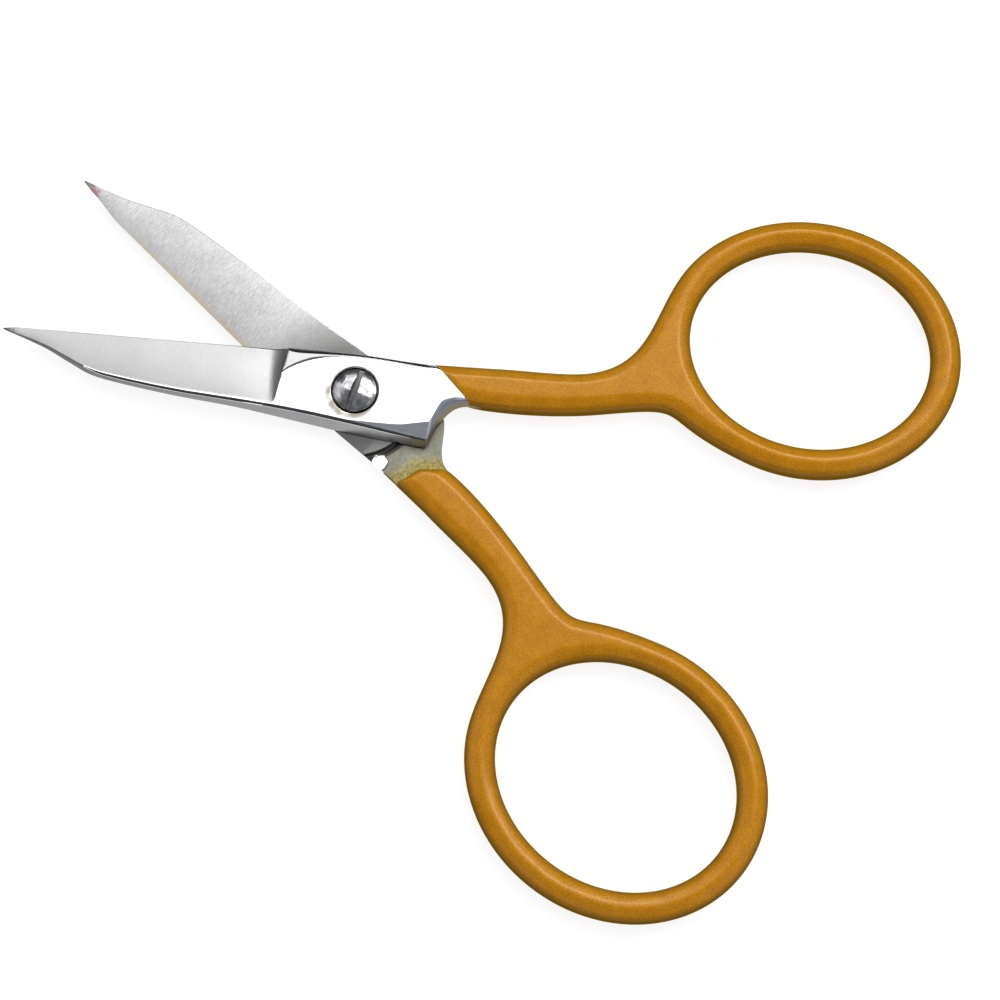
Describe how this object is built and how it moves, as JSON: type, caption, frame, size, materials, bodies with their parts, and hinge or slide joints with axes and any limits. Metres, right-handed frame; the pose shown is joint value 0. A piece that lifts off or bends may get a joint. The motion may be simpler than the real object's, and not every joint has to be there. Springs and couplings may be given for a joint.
{
  "type": "thread snips",
  "caption": "Small forged thread snips: two pointed blades turning on a slotted screw, with coated shanks and oval finger rings.",
  "frame": {"origin": "centre of the footprint of the pair as it lies open, on the plane it rests on", "axes": "+Z along the pivot towards the screw head; +X from the blade tips towards the finger rings, midway between the halves; +Y towards the front half's finger ring"},
  "size_m": [0.0958, 0.0794, 0.0042],
  "materials": {
    "polished_steel": "mirror polished boss, satin ground blade",
    "brushed_steel": "ground across on the inner face",
    "mustard_coat": "thick mustard-yellow coat, soft gloss",
    "mustard_coat_rear": "thick mustard-yellow coat, soft gloss",
    "screw_steel": "polished, slightly dark"
  },
  "bodies": {
    "rear": {"rear_half": "brushed_steel", "rear_handle_coat": "mustard_coat_rear", "pivot_screw": "screw_steel"},
    "front": {"front_half": "polished_steel", "front_handle_coat": "mustard_coat"}
  },
  "joints": [
    {"name": "pivot", "type": "hinge", "parent": "rear", "child": "front", "pos_m": [-0.0102, 0, 0.0018], "axis": [0, 0, 1], "range_deg": [-28, 32]}
  ]
}
